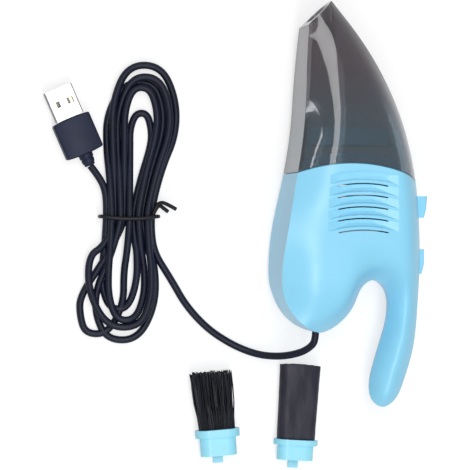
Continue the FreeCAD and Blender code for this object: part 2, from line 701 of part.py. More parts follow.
def brushBase():
    base = toolBase(brushFlange, plugLength, brushTab)
    collar = ovalBar(toolBoreWidth + 1.6, toolBoreHigh + 1.6, -brushFlange - 2.0, 0)
    hole = ovalBar(toolBoreWidth - 2.0, toolBoreHigh - 0.6, -brushFlange - 3.0, 1)
    return base.fuse(collar.cut(hole)).removeSplitter()


def brushBristles():
    """A leaning fan of bristle tufts in one block."""
    def ring(wide, high, y, middle):
        return Part.Wire(Part.makePolygon([Vector(middle + x, y, z) for x, z in [
            (-wide / 2, -high / 2), (wide / 2, -high / 2), (wide / 2, high / 2), (-wide / 2, high / 2),
            (-wide / 2, -high / 2)]]))
    fan = Part.makeLoft([ring(14.8, 6.0, 0.0, 0.0), ring(17.2, 7.4, bristleLength, bristleLean)], True, True)
    return fan.makeFillet(bristleRound, [e for e in fan.Edges if e.BoundBox.YLength > bristleLength - 1])


def flatBase():
    base = toolBase(flatFlange, flatPlugLength, flatTab)
    collar = ovalBar(toolBoreWidth + 1.1, toolBoreHigh + 0.7, 0, 4.0)
    return base.fuse(collar.cut(ovalBar(toolBoreWidth - 0.8, toolBoreHigh - 1.0, -1, 5))).removeSplitter()


def rubberNozzle():
    """A soft flat tube, a little wider at its open end."""
    def ring(wide, high, y):
        small = high / 2
        x = wide / 2 - small
        top = Part.makeLine(Vector(-x, y, small), Vector(x, y, small))
        right = Part.Arc(Vector(x, y, small), Vector(x + small, y, 0), Vector(x, y, -small)).toShape()
        low = Part.makeLine(Vector(x, y, -small), Vector(-x, y, -small))
        left = Part.Arc(Vector(-x, y, -small), Vector(-x - small, y, 0), Vector(-x, y, small)).toShape()
        return Part.Wire([top, right, low, left])
    outside = Part.makeLoft([ring(16.0, 8.4, 0.02), ring(17.2, 7.2, rubberLength)], True, True)
    inside = Part.makeLoft([ring(13.25, 6.05, -1), ring(14.6, 4.8, rubberLength + 1)], True, True)
    return outside.cut(inside)


# ---- cord and plug ----

def hank():
    """The tied hank as one solid of its outer shape, with its two open loops."""
    face = Part.Face(loop(hankOuter))
    solid = face.extrude(Vector(0, 0, hankHeight))
    for opening in hankOpenings:
        hole = Part.Face(loop(opening)).extrude(Vector(0, 0, hankHeight + 2))
        hole.translate(Vector(0, 0, -1))
        solid = solid.cut(hole)
    groove = block(-100, -60, tieY - tieRadius - 0.3, tieY + tieRadius + 0.3, 0, 2 * tieRadius + 0.1)
    return solid.cut(groove)


def hankTie():
    """A wire loop round the hank's waist with two twisted ends."""
    x0, x1, top = -91.4, -67.2, hankHeight + tieRadius + 0.05
    low = tieRadius
    bow = tube([(x, tieY, z) for x, z in [
        (-79, low), (x0 + 0.8, low), (x0 - tieRadius, low + 1.6), (x0 - tieRadius, top - 1.6), (x0 + 0.8, top),
        (x1 - 0.8, top), (x1 + tieRadius, top - 1.6), (x1 + tieRadius, low + 1.6), (x1 - 0.8, low),
        (-79, low)]], tieRadius)
    long = [(x1 + tieRadius, tieY, 4.5), (-65.0, tieY + 2.6, 4.6), (-62.4, 20.9, 4.4), (-60.0, 20.4, 4.2)]
    short = [(x1 + tieRadius, tieY, 3.0), (-65.6, tieY + 1.6, 2.6), (-63.8, 18.6, 2.2), (-62.6, 18.0, 2.0)]
    return bow.fuse([tube(route, tieRadius) for route in (long, short)])


def onPlug(shape):
    """Turned from the plug's own axis, +Y from its cable end, to where it lies."""
    shape = shape.copy()
    shape.rotate(Vector(0, 0, 0), Vector(0, 0, 1), plugTurn)
    shape.translate(Vector(plugBase[0], plugBase[1], plugHeight))
    return shape


def plugGrip():
    grip = Part.makeBox(gripWidth, gripLength, gripHigh, Vector(-gripWidth / 2, gripStart, -gripHigh / 2))
    grip = grip.makeFillet(1.4, [e for e in grip.Edges if e.BoundBox.YLength > 1])
    relief = Part.makeCone(2.4, 3.1, gripStart + 0.5, Vector(0, 0, 0), Vector(0, 1, 0))
    for y in (1.4, 3.2):
        notch = Part.makeCylinder(4, 0.7, Vector(0, y, 0), Vector(0, 1, 0)).cut(
            Part.makeCylinder(2.1, 0.7, Vector(0, y, 0), Vector(0, 1, 0)))
        relief = relief.cut(notch)
    return onPlug(grip.fuse(relief))


def plugShell():
    y0 = gripStart + gripLength
    shell = Part.makeBox(shellWidth, shellLength, shellHigh, Vector(-shellWidth / 2, y0, -shellHigh / 2))
    inside = Part.makeBox(shellWidth - 2 * shellWall, shellLength, shellHigh - 2 * shellWall,
                          Vector(-shellWidth / 2 + shellWall, y0 + 0.01, -shellHigh / 2 + shellWall))
    shell = shell.makeFillet(0.5, [e for e in shell.Edges if e.BoundBox.YLength > 1]).cut(inside)
    for side in (-1, 1):
        hole = Part.makeBox(2.5, 2.5, 8, Vector(side * 2.9 - 1.25, y0 + shellLength - 7.6, -4))
        shell = shell.cut(hole)
    return onPlug(shell)


def plugTongue():
    y0 = gripStart + gripLength + 0.01
    tongue = Part.makeBox(shellWidth - 2 * shellWall - 0.1, shellLength - 1.2, 1.9,
                          Vector(-shellWidth / 2 + shellWall + 0.05, y0, -shellHigh / 2 + shellWall))
    return onPlug(tongue)


def plugContacts():
    y0 = gripStart + gripLength + 3
    z = -shellHigh / 2 + shellWall + 1.9
    pads = [Part.makeBox(1.0, shellLength - 5.5, 0.15, Vector(x - 0.5, y0, z)) for x in (-3.5, -1.0, 1.0, 3.5)]
    return onPlug(Part.makeCompound(pads))


def main():
    os.makedirs("parts", exist_ok=True)
    outer = halfForm(0)
    inner = halfForm(wall)
    upper, lower = casing(outer, inner)
    toolZ = flangeHigh / 2
    nodes = {
        "upper_shell": upper,
        "lower_shell": lower,
        "dust_cup": dustCup(outer, inner),
        "filter_frame": filterFrame(),
        "filter_cloth": filterCloth(),
        "fan_shroud": fanShroud(inner),
        "impeller": impeller(),
        "motor_shaft": motorShaft(),
        "motor_can": motorCan(),
        "motor_end_cap": motorEndCap(),
        "motor_terminals": motorTerminals(),
        "motor_mount": motorMount(inner),
        "motor_screws": motorScrews(),
        "release_button": releaseButton(),
        "release_spring": releaseSpring(),
        "power_slider": powerSlider(),
        "switch_body": switchBody(),
        "switch_lugs": switchLugs(),
        "inner_wires": innerWires(),
        "cord_grommet": cordGrommet(outer),
        "casing_screws": casingScrews(),
        "brush_base": laid(brushBase(), brushPlace, toolZ),
        "brush_bristles": laid(brushBristles(), brushPlace, toolZ),
        "flat_tool_base": laid(flatBase(), flatPlace, toolZ),
        "rubber_nozzle": laid(rubberNozzle(), flatPlace, toolZ),
        "cord_lead": tube(cordRoute, cordRadius),
        "cord_hank": hank(),
        "cord_tail": tube(tailRoute, cordRadius),
        "hank_tie": hankTie(),
        "plug_grip": plugGrip(),
        "plug_shell": plugShell(),
        "plug_tongue": plugTongue(),
        "plug_contacts": plugContacts(),
    }
    for name, shape in nodes.items():
        if not shape.isValid() or not shape.Solids:
            print("not sound:", name, len(shape.Solids))
        box = shape.BoundBox
        print("%-16s %2d solids, volume %8.1f, x %.1f..%.1f y %.1f..%.1f z %.1f..%.1f" % (
            name, len(shape.Solids), shape.Volume, box.XMin, box.XMax, box.YMin, box.YMax, box.ZMin, box.ZMax))
        shape.exportStep("parts/" + name + ".step")


if __name__ == "__main__":
    main()
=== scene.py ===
import bpy
import bmesh
import math
import random
from mathutils import Matrix, Vector


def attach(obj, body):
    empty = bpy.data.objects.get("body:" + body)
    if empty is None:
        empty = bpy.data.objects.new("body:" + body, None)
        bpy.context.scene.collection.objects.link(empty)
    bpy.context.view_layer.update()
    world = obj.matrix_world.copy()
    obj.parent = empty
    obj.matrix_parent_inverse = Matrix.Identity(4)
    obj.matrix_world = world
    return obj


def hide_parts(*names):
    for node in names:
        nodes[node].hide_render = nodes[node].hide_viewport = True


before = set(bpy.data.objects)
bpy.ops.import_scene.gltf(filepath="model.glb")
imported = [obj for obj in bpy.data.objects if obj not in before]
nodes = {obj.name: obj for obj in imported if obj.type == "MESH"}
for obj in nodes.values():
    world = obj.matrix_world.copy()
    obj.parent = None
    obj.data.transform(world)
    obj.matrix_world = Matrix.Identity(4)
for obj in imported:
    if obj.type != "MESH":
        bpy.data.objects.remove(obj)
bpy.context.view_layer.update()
scene = bpy.context.scene
mm = 0.001
nearby = 0.01 * mm                # points this close count as in one place
print("frame loaded,", len(nodes), "nodes")


def selectOnly(*pieces):
    # the first piece becomes the active one
    if bpy.context.mode != "OBJECT":
        bpy.ops.object.mode_set(mode="OBJECT")
    bpy.ops.object.select_all(action="DESELECT")
    for piece in pieces:
        piece.select_set(True)
    if pieces:
        bpy.context.view_layer.objects.active = pieces[0]


# the camera looks down at the table from a little towards the belly side

cameraSet = {
    "aim": (-35.0, 10.0, 0.0),    # mm
    "distance": 1000.0,
    "lean": 10.3,                 # degrees from straight down, seen from the belly side
    "lens": 184.516,
    "sensor": 36,
}


def makeCamera():
    lean = math.radians(cameraSet["lean"])
    x, y, z = cameraSet["aim"]
    away = cameraSet["distance"]
    bpy.ops.object.camera_add(
        location=((x - away * math.sin(lean)) * mm, y * mm, (z + away * math.cos(lean)) * mm),
        rotation=(0, -lean, 0))
    camera = bpy.context.object
    camera.data.lens = cameraSet["lens"]
    camera.data.sensor_width = cameraSet["sensor"]
    scene.camera = camera


makeCamera()


def newMaterial(name):
    material = bpy.data.materials.new(name)
    material.use_nodes = True
    tree = material.node_tree
    return material, tree, tree.nodes["Principled BSDF"]


def giveMaterial(piece, material):
    piece.data.materials.clear()
    piece.data.materials.append(material)


def noiseOn(tree, scale, detail=3.0, stretch=(1, 1, 1), turn=0.0):
    # a noise on Object coordinates, turned about Z and stretched where a grain has a direction
    coords = tree.nodes.new("ShaderNodeTexCoord")
    mapping = tree.nodes.new("ShaderNodeMapping")
    mapping.inputs["Rotation"].default_value = (0, 0, math.radians(turn))
    mapping.inputs["Scale"].default_value = stretch
    noise = tree.nodes.new("ShaderNodeTexNoise")
    noise.inputs["Scale"].default_value = scale
    noise.inputs["Detail"].default_value = detail
    tree.links.new(coords.outputs["Object"], mapping.inputs["Vector"])
    tree.links.new(mapping.outputs["Vector"], noise.inputs["Vector"])
    return noise.outputs["Fac"]


def rampFrom(tree, source, places, low, high):
    # the low colour up to the first place and the high one from the second
    ramp = tree.nodes.new("ShaderNodeValToRGB")
    for element, place, colour in zip(ramp.color_ramp.elements, places, (low, high)):
        element.position = place
        element.color = (*colour, 1)
    tree.links.new(source, ramp.inputs["Fac"])
    return ramp.outputs["Color"]


def rangeFrom(tree, source, low, high, fromLow=0.0, fromHigh=1.0):
    remap = tree.nodes.new("ShaderNodeMapRange")
    remap.inputs["From Min"].default_value = fromLow
    remap.inputs["From Max"].default_value = fromHigh
    remap.inputs["To Min"].default_value = low
    remap.inputs["To Max"].default_value = high
    tree.links.new(source, remap.inputs["Value"])
    return remap.outputs["Result"]


def mixColours(tree, factor, first, second, kind="MIX"):
    mix = tree.nodes.new("ShaderNodeMix")
    mix.data_type = "RGBA"
    mix.blend_type = kind
    if isinstance(factor, float):
        mix.inputs["Factor"].default_value = factor
    else:
        tree.links.new(factor, mix.inputs["Factor"])
    for value, socket in ((first, mix.inputs["A"]), (second, mix.inputs["B"])):
        if isinstance(value, tuple):
            socket.default_value = (*value, 1)
        else:
            tree.links.new(value, socket)
    return mix.outputs["Result"]


def mathOf(tree, operation, *sources):
    node = tree.nodes.new("ShaderNodeMath")
    node.operation = operation
    for source, socket in zip(sources, node.inputs):
        tree.links.new(source, socket)
    return node.outputs[0]


def partOfPlace(tree, axis, low, high):
    # 0 at the low place and 1 at the high one along an axis of the piece, in millimetres
    coords = tree.nodes.new("ShaderNodeTexCoord")
    parts = tree.nodes.new("ShaderNodeSeparateXYZ")
    tree.links.new(coords.outputs["Object"], parts.inputs["Vector"])
    return rangeFrom(tree, parts.outputs[axis], 0.0, 1.0, low * mm, high * mm)


def bumpFrom(tree, shader, source, strength, depth):
    bump = tree.nodes.new("ShaderNodeBump")
    bump.inputs["Strength"].default_value = strength
    bump.inputs["Distance"].default_value = depth * mm
    tree.links.new(source, bump.inputs["Height"])
    tree.links.new(bump.outputs["Normal"], shader.inputs["Normal"])


# noise scales are in waves to the metre and depths in mm

plasticSet = {
    "cloudScale": 38.0,
    "cloudPlaces": (0.35, 0.7),
    "smudgeScale": 120.0,
    "smudge": (0.8, 1.2),         # shares of the roughness
    "grainScale": 2600.0,
    "grainDepth": 0.1,
}


def mouldedPlastic(name, colour, darker, roughness, grain=0.02, shine=0.5):
    # a cloudy colour, a roughness that varies, and a fine moulded grain
    material, tree, shader = newMaterial(name)
    cloud = noiseOn(tree, plasticSet["cloudScale"], detail=2.0)
    body = rampFrom(tree, cloud, plasticSet["cloudPlaces"], darker, colour)
    tree.links.new(body, shader.inputs["Base Color"])
    smudge = noiseOn(tree, plasticSet["smudgeScale"], detail=4.0)
    low, high = plasticSet["smudge"]
    tree.links.new(rangeFrom(tree, smudge, roughness * low, roughness * high), shader.inputs["Roughness"])
    if grain:
        fine = noiseOn(tree, plasticSet["grainScale"], detail=2.0)
        bumpFrom(tree, shader, fine, grain, plasticSet["grainDepth"])
    shader.inputs["Specular IOR Level"].default_value = shine
    return material


metalSet = {
    "grainScale": 900.0,
    "grainPlaces": (0.3, 0.7),
    "grainTone": 0.9,             # the darker grain, as a share of the colour
    "worn": (0.8, 1.3),           # shares of the roughness
}


def metal(name, colour, roughness):
    material, tree, shader = newMaterial(name)
    shader.inputs["Metallic"].default_value = 1.0
    grain = noiseOn(tree, metalSet["grainScale"])
    darker = tuple(c * metalSet["grainTone"] for c in colour)
    body = rampFrom(tree, grain, metalSet["grainPlaces"], darker, colour)
    tree.links.new(body, shader.inputs["Base Color"])
    low, high = metalSet["worn"]
    tree.links.new(rangeFrom(tree, grain, roughness * low, roughness * high), shader.inputs["Roughness"])
    return material


plateSet = {
    "bright": (0.30, 0.297, 0.30),
    # painted shade: the colour of the faces that slope, on the bent edges and sides
    "paintedSideShade": (0.14, 0.14, 0.155),
    "grainTone": 0.92,
    "stretch": (1, 0.2, 1),       # the drawing marks run along the plug
    "turn": -23.5,                # degrees
    "level": (0.55, 0.97),        # how level a face is where it starts to be bright and where it fully is; less level faces get painted shade
    "roughness": (0.24, 0.38),
}


def platedSteel(name):
    # drawn plating, bright on the flats, with painted shade by face slope on the bent edges and sides,
    # standing in for the dim room they reflect
    material, tree, shader = newMaterial(name)
    shader.inputs["Metallic"].default_value = 1.0
    grain = noiseOn(tree, metalSet["grainScale"], stretch=plateSet["stretch"], turn=plateSet["turn"])
    geometry = tree.nodes.new("ShaderNodeNewGeometry")
    parts = tree.nodes.new("ShaderNodeSeparateXYZ")
    tree.links.new(geometry.outputs["Normal"], parts.inputs["Vector"])
    # painted shade: the less level a face is, the more of the dark side colour it gets
    level = rangeFrom(tree, mathOf(tree, "ABSOLUTE", parts.outputs["Z"]), 0.0, 1.0, *plateSet["level"])
    darker = tuple(c * plateSet["grainTone"] for c in plateSet["bright"])
    plate = rampFrom(tree, grain, metalSet["grainPlaces"], darker, plateSet["bright"])
    tree.links.new(mixColours(tree, level, plateSet["paintedSideShade"], plate), shader.inputs["Base Color"])
    tree.links.new(rangeFrom(tree, grain, *plateSet["roughness"]), shader.inputs["Roughness"])
    return material


smokeSet = {
    "warm": (0.225, 0.200, 0.225),    # by the mouth
    "cool": (0.190, 0.255, 0.300),    # by the seam
    "toneChange": (50.0, 78.0),       # mm along Y, where the cool tone starts to give way and where it ends
    "flowScale": 26.0,
    "flowStretch": (1, 0.45, 1),
    "flowPlaces": (0.3, 0.7),
    "flowTone": (0.84, 0.84, 0.86),
    "flowStrength": 0.05,
    "flowDepth": 0.4,
    "clear": 0.86,
    "roughness": 0.05,
    "ior": 1.45,
}


def smokePlastic(name):
    # smoke tint, warmer towards the mouth, with faint flow marks from the moulding
    material, tree, shader = newMaterial(name)
    place = partOfPlace(tree, "Y", *smokeSet["toneChange"])
    flow = noiseOn(tree, smokeSet["flowScale"], detail=2.0, stretch=smokeSet["flowStretch"])
    tone = mixColours(tree, place, smokeSet["cool"], smokeSet["warm"])
    shade = rampFrom(tree, flow, smokeSet["flowPlaces"], smokeSet["flowTone"], (1.0, 1.0, 1.0))
    tree.links.new(mixColours(tree, 1.0, tone, shade, "MULTIPLY"), shader.inputs["Base Color"])
    bumpFrom(tree, shader, flow, smokeSet["flowStrength"], smokeSet["flowDepth"])
    shader.inputs["Roughness"].default_value = smokeSet["roughness"]
    shader.inputs["Transmission Weight"].default_value = smokeSet["clear"]
    shader.inputs["IOR"].default_value = smokeSet["ior"]
    return material


nylonSet = {
    "turn": -4.1,                 # degrees, so that the painted highlight streaks run along the strands
    "streakStretch": (1100, 22, 1100),
    "streakPlaces": (0.42, 0.74),
    "dark": (0.002, 0.003, 0.006),
    # painted highlight: the colour of the lighter streaks along the strands
    "paintedHighlightStreak": (0.016, 0.020, 0.030),
    "tips": (-47.6, -46.0),       # mm along Y, where the wear starts and where it is full
    "tip": (0.42, 0.44, 0.47),
    "speckStretch": (1500, 300, 1500),
    "speckPlaces": (0.6, 0.68),
    "roughness": 0.42,
    "shine": 0.22,
}


def strandNylon(name):
    # near-black strands with long lighter streaks that are painted highlights, and pale worn tips
    material, tree, shader = newMaterial(name)
    # painted highlight: lighter streaks stretched along the strands
    paintedHighlightStreak = noiseOn(tree, 1.0, stretch=nylonSet["streakStretch"], turn=nylonSet["turn"])
    body = rampFrom(tree, paintedHighlightStreak, nylonSet["streakPlaces"], nylonSet["dark"], nylonSet["paintedHighlightStreak"])
    tip = partOfPlace(tree, "Y", *nylonSet["tips"])
    speck = noiseOn(tree, 1.0, detail=1.0, stretch=nylonSet["speckStretch"], turn=nylonSet["turn"])
    worn = mathOf(tree, "MULTIPLY", tip, rangeFrom(tree, speck, 0.0, 1.0, *nylonSet["speckPlaces"]))
    tree.links.new(mixColours(tree, worn, body, nylonSet["tip"]), shader.inputs["Base Color"])
    shader.inputs["Roughness"].default_value = nylonSet["roughness"]
    shader.inputs["Specular IOR Level"].default_value = nylonSet["shine"]
    return material


rubberSet = {
    "turn": 3.7,                  # degrees, so that rubs and creases run along the nozzle
    "rubStretch": (260, 70, 160),
    "rubPlaces": (0.38, 0.74),
    "dark": (0.010, 0.010, 0.020),
    "rubbed": (0.036, 0.034, 0.052),
    "roughness": (0.62, 0.44),    # as moulded and where rubbed
    "shine": 0.26,
    "creaseStretch": (420, 110, 300),
    "creaseStrength": 0.35,
    "creaseDepth": 0.3,
}


def matteRubber(name):
    # dark grey rubber with cloudy lighter rubs along its length and fine creases
    material, tree, shader = newMaterial(name)
    rub = noiseOn(tree, 1.0, detail=4.0, stretch=rubberSet["rubStretch"], turn=rubberSet["turn"])
    body = rampFrom(tree, rub, rubberSet["rubPlaces"], rubberSet["dark"], rubberSet["rubbed"])
    tree.links.new(body, shader.inputs["Base Color"])
    tree.links.new(rangeFrom(tree, rub, *rubberSet["roughness"]), shader.inputs["Roughness"])
    shader.inputs["Specular IOR Level"].default_value = rubberSet["shine"]
    crease = noiseOn(tree, 1.0, detail=5.0, stretch=rubberSet["creaseStretch"], turn=rubberSet["turn"])
    bumpFrom(tree, shader, crease, rubberSet["creaseStrength"], rubberSet["creaseDepth"])
    return material


fleeceSet = {
    "fibreScale": 2200.0,
    "fibrePlaces": (0.3, 0.7),
    "shade": (0.50, 0.66, 0.74),
    "light": (0.76, 0.88, 0.93),
    "roughness": 0.95,
    "sheen": 0.3,
    "fibreStrength": 0.6,
    "fibreDepth": 0.3,
}


def filterFleece(name):
    # pressed fibres: a fine matted grain with a soft sheen
    material, tree, shader = newMaterial(name)
    fibre = noiseOn(tree, fleeceSet["fibreScale"], detail=6.0)
    body = rampFrom(tree, fibre, fleeceSet["fibrePlaces"], fleeceSet["shade"], fleeceSet["light"])
    tree.links.new(body, shader.inputs["Base Color"])
    shader.inputs["Roughness"].default_value = fleeceSet["roughness"]
    shader.inputs["Sheen Weight"].default_value = fleeceSet["sheen"]
    bumpFrom(tree, shader, fibre, fleeceSet["fibreStrength"], fleeceSet["fibreDepth"])
    return material


# each plastic's colour, its darker cloud, its roughness, the strength of its grain and its shine

blueShell = mouldedPlastic("glossyBluePlastic", (0.285, 0.715, 0.965), (0.270, 0.695, 0.950), 0.34, 0.0)
paleBlue = mouldedPlastic("satinPaleBluePlastic", (0.350, 0.810, 0.975), (0.325, 0.780, 0.955), 0.36)
innerGrey = mouldedPlastic("satinGreyPlastic", (0.55, 0.58, 0.62), (0.50, 0.53, 0.57), 0.4)
blackPlastic = mouldedPlastic("satinBlackPlastic", (0.010, 0.011, 0.016), (0.006, 0.006, 0.009),
                              0.42, 0.02, 0.2)
cordPlastic = mouldedPlastic("softNavyPlastic", (0.006, 0.008, 0.024), (0.004, 0.006, 0.017),
                             0.42, 0.08, 0.2)
plugPlastic = mouldedPlastic("satinNavyPlastic", (0.012, 0.018, 0.046), (0.009, 0.014, 0.036),
                             0.48, 0.14, 0.2)
rubber = matteRubber("matteGreyRubber")
bristleNylon = strandNylon("blackNylonStrands")
fleece = filterFleece("paleFilterFleece")
smoke = smokePlastic("smokeClearPlastic")
steel = metal("plainSteel", (0.62, 0.62, 0.64), 0.3)
paintedShadePlate = platedSteel("platingPaintedSideShade")
brass = metal("contactBrass", (0.80, 0.60, 0.28), 0.25)
# painted shade: the plug's white tongue is darkened to mid-grey for the shade inside the plug's shell
tonguePaintedShadePlastic = mouldedPlastic("whitePlasticPaintedShade", (0.40, 0.39, 0.39), (0.36, 0.35, 0.35), 0.5)
print("materials made")

finishes = {
    blueShell: ["upper_shell", "lower_shell", "release_button", "power_slider"],
    smoke: ["dust_cup"],
    paleBlue: ["filter_frame", "brush_base", "flat_tool_base"],
    fleece: ["filter_cloth"],
    innerGrey: ["fan_shroud", "impeller", "motor_mount"],
    steel: ["motor_can", "motor_shaft", "motor_screws", "casing_screws", "release_spring"],
    blackPlastic: ["motor_end_cap", "switch_body", "hank_tie"],
    brass: ["motor_terminals", "switch_lugs", "plug_contacts"],
    cordPlastic: ["inner_wires", "cord_grommet", "cord_lead", "cord_hank", "cord_tail"],
    plugPlastic: ["plug_grip"],
    bristleNylon: ["brush_bristles"],
    rubber: ["rubber_nozzle"],
    paintedShadePlate: ["plug_shell"],
    tonguePaintedShadePlastic: ["plug_tongue"],
}

for material, names in finishes.items():
    for name in names:
        giveMaterial(nodes[name], material)
print("node materials given")

# the USB cord, in millimetres: the hank's turns run from lane to lane through its tied waist

cordSet = {
    "radius": 1.5,
    "roundness": 6,
    "smoothness": 8,
    "length": 1.25,               # m
    "lead": [(-5.1, -29.4, 20), (-5.2, -33.0, 19.5), (-6.2, -35.3, 18.2), (-8.8, -37.5, 16.0),
             (-12.0, -38.9, 13.2), (-16.2, -39.9, 9.9), (-20.9, -40.1, 6.9), (-25.8, -39.5, 4.3),
             (-31.2, -37.8, 2.4), (-37.6, -34.8, 1.6), (-45.4, -29.8, 1.5), (-51.7, -23.9, 1.6),
             (-56.9, -17.4, 1.5), (-60.8, -10.6, 1.6), (-64.5, -4.6, 1.7), (-68.2, 1.2, 1.6),
             (-70.2, 8.0, 1.9)],
    "tail": [(-89.2, 23.6, 4.0), (-89.9, 28.6, 4.4), (-92.0, 33.4, 4.2), (-95.9, 38.4, 4.0)],
    "waistY": 17.8,
    "waistHalf": 2.5,             # the turns run straight for this far each side of the waist's middle
    "firstLane": -89.2,
    "laneStep": 1.85,
    "laneLow": 3.5,
    "laneHigh": 6.1,
    # lane in, first bulge, apex, second bulge, lane out
    "turns": [
        (10, (-60.0, 58.8, 1.6), (-73.3, 79.8, 2.8), (-86.8, 56.6, 4.4), 2),
        (2, (-96.7, -6.1, 4.6), (-80.4, -27.8, 4.4), (-70.7, -9.8, 4.6), 9),
        (9, (-63.0, 57.6, 4.2), (-72.9, 74.9, 4.4), (-84.4, 53.5, 1.7), 3),
        (3, (-93.4, -17.9, 1.6), (-83.5, -33.1, 1.6), (-68.6, -11.1, 1.6), 8),
        (8, (-65.5, 57.6, 1.6), (-73.3, 72.8, 1.6), (-88.9, 52.3, 1.6), 1),
        (1, (-88.5, -9.7, 4.4), (-81.8, -24.9, 4.4), (-73.2, -9.7, 1.6), 7),
        (7, (-68.3, 57.2, 4.2), (-74.7, 70.5, 4.4), (-81.8, 55.5, 4.4), 4),
        (4, (-99.9, -18.9, 1.6), (-95.2, -30.5, 1.6), (-81.8, -11.9, 1.6), 5),
        (5, (-79.2, 50.3, 1.6), (-74.1, 60.1, 1.6), (-70.3, 50.6, 1.6), 6),
        (6, (-76.6, -3.1, 4.2), (-84.0, -20.4, 1.6), (-90.7, -7.5, 1.6), 0),
    ],
    "swing": 0.42,                # where the swing out to the bulge is held, as a share of the way to it
    "swingRise": 0.04,            # and moved on, as a share of the way from bulge to apex
    "flat": 0.35,                 # the bulge runs straight for this share of that way, each side
    "shoulder": 0.52,             # how wide the turn still is at its apex, as a share of the bulge
}


def lanePoint(lane, offset):
    z = cordSet["laneHigh"] if lane % 2 else cordSet["laneLow"]
    return Vector((cordSet["firstLane"] + lane * cordSet["laneStep"], cordSet["waistY"] + offset, z))


def halfTurn(lane, bulge, apex):
    # from the waist out over the bulge and on to the apex
    bulge, apex = Vector(bulge), Vector(apex)
    side = 1 if apex.y > cordSet["waistY"] else -1
    start = lanePoint(lane, cordSet["waistHalf"] * side)
    rise = apex.y - bulge.y
    flat = cordSet["flat"] * rise
    return [start,
            start.lerp(bulge, cordSet["swing"]) + Vector((0, cordSet["swingRise"] * rise, 0)),
            Vector((bulge.x, bulge.y - flat, bulge.z)),
            Vector((bulge.x, bulge.y + flat, bulge.z)),
            Vector((apex.x + cordSet["shoulder"] * (bulge.x - apex.x), apex.y, apex.z))]


def cordRoute():
    route = list(cordSet["lead"])
    for laneIn, first, apex, second, laneOut in cordSet["turns"]:
        route += halfTurn(laneIn, first, apex) + halfTurn(laneOut, second, apex)[::-1]
    return route + cordSet["tail"]


def tubeAlong(name, points, values, closed=False):
    # a smooth tube that follows points in mm, as thick and as fine as the values say
    curve = bpy.data.curves.new(name, "CURVE")
    curve.dimensions = "3D"
    curve.bevel_depth = values["radius"] * mm
    curve.bevel_resolution = values["roundness"]
    curve.resolution_u = values["smoothness"]
    curve.use_fill_caps = True
    spline = curve.splines.new("NURBS")
    spline.points.add(len(points) - 1)
    for point, place in zip(spline.points, points):
        point.co = (*(Vector(place) * mm), 1.0)
    spline.order_u = 3
    spline.use_endpoint_u = not closed
    spline.use_cyclic_u = closed
    piece = bpy.data.objects.new(name, curve)
    scene.collection.objects.link(piece)
    return piece


def makeCord(*endPieces):
    piece = tubeAlong("usbCord", cordRoute(), cordSet)
    giveMaterial(piece, cordPlastic)
    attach(piece, "casing")
    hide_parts("cord_lead", "cord_hank", "cord_tail")


# the plug's overmould with its strain relief

plugSet = {
    "place": (-95.9, 38.4, 4.0),  # mm, where the cord goes into the strain relief
    "turn": 23.5,                 # degrees
    "size": (16.0, 16.2, 8.0),
    "start": 5.0,                 # the grip starts this far past the place
    "slices": 6,                  # in each half of its width
    "crown": 0.9,                 # the faces fall this much towards the sides
    "arch": 0.55,                 # the two ends stand out this much in the middle
    "edge": 0.8,
    # distance along the axis and radius of each ring of the strain relief
    "relief": [(5.6, 3.0), (3.5, 2.95), (3.3, 2.6), (2.9, 2.6), (2.7, 2.8),
               (1.2, 2.5), (1.0, 2.2), (0.6, 2.2), (0.4, 2.35), (0.05, 1.9)],
    "reliefEdge": 0.12,
}


def placedAt(place, turn):
    return Matrix.Translation(Vector(place) * mm) @ Matrix.Rotation(math.radians(turn), 4, "Z")


def applyPlace(piece):
    selectOnly(piece)
    bpy.ops.object.transform_apply(location=True, rotation=True, scale=True)


def pick(piece, test):
    # selects the vertices that pass the test, in edit mode
    mesh = bmesh.from_edit_mesh(piece.data)
    for vertex in mesh.verts:
        vertex.select = bool(test(vertex.co))
    mesh.select_flush(True)
    mesh.select_flush(False)
    bmesh.update_edit_mesh(piece.data)


def cutAcross(places, axis):
    # one cut all round the piece at each place along an axis, in metres
    for place in places:
        bpy.ops.mesh.select_all(action="SELECT")
        spot, normal = [0, 0, 0], [0, 0, 0]
        spot[axis], normal[axis] = place, 1
        bpy.ops.mesh.bisect(plane_co=spot, plane_no=normal)


def addModifier(piece, kind, **values):
    modifier = piece.modifiers.new(kind.lower(), kind)
    for name, value in values.items():
        setattr(modifier, name, value)


def applyModifiers(piece):
    selectOnly(piece)
    for modifier in list(piece.modifiers):
        bpy.ops.object.modifier_apply(modifier=modifier.name)


def editOn(piece):
    selectOnly(piece)
    bpy.ops.object.mode_set(mode="EDIT")
    bpy.context.tool_settings.mesh_select_mode = (True, False, False)


def makeRelief():
    rings = plugSet["relief"]
    startY, startRadius = rings[0]
    selectOnly()
    bpy.ops.mesh.primitive_circle_add(vertices=28, radius=startRadius * mm, fill_type="NGON",
                                      location=(0, startY * mm, 0), rotation=(math.pi / 2, 0, 0))
    relief = bpy.context.object
    applyPlace(relief)
    editOn(relief)
    bpy.ops.mesh.select_all(action="SELECT")
    for (y, radius), (nextY, nextRadius) in zip(rings, rings[1:]):
        bpy.ops.mesh.extrude_region_move(TRANSFORM_OT_translate={"value": (0, (nextY - y) * mm, 0)})
        bpy.ops.transform.resize(value=(nextRadius / radius, 1, nextRadius / radius),
                                 center_override=(0, nextY * mm, 0))
    bpy.ops.mesh.select_all(action="SELECT")
    bpy.ops.mesh.normals_make_consistent(inside=False)
    bpy.ops.object.mode_set(mode="OBJECT")
    addModifier(relief, "BEVEL", width=plugSet["reliefEdge"] * mm, segments=2, angle_limit=math.radians(35))
    applyModifiers(relief)
    return relief


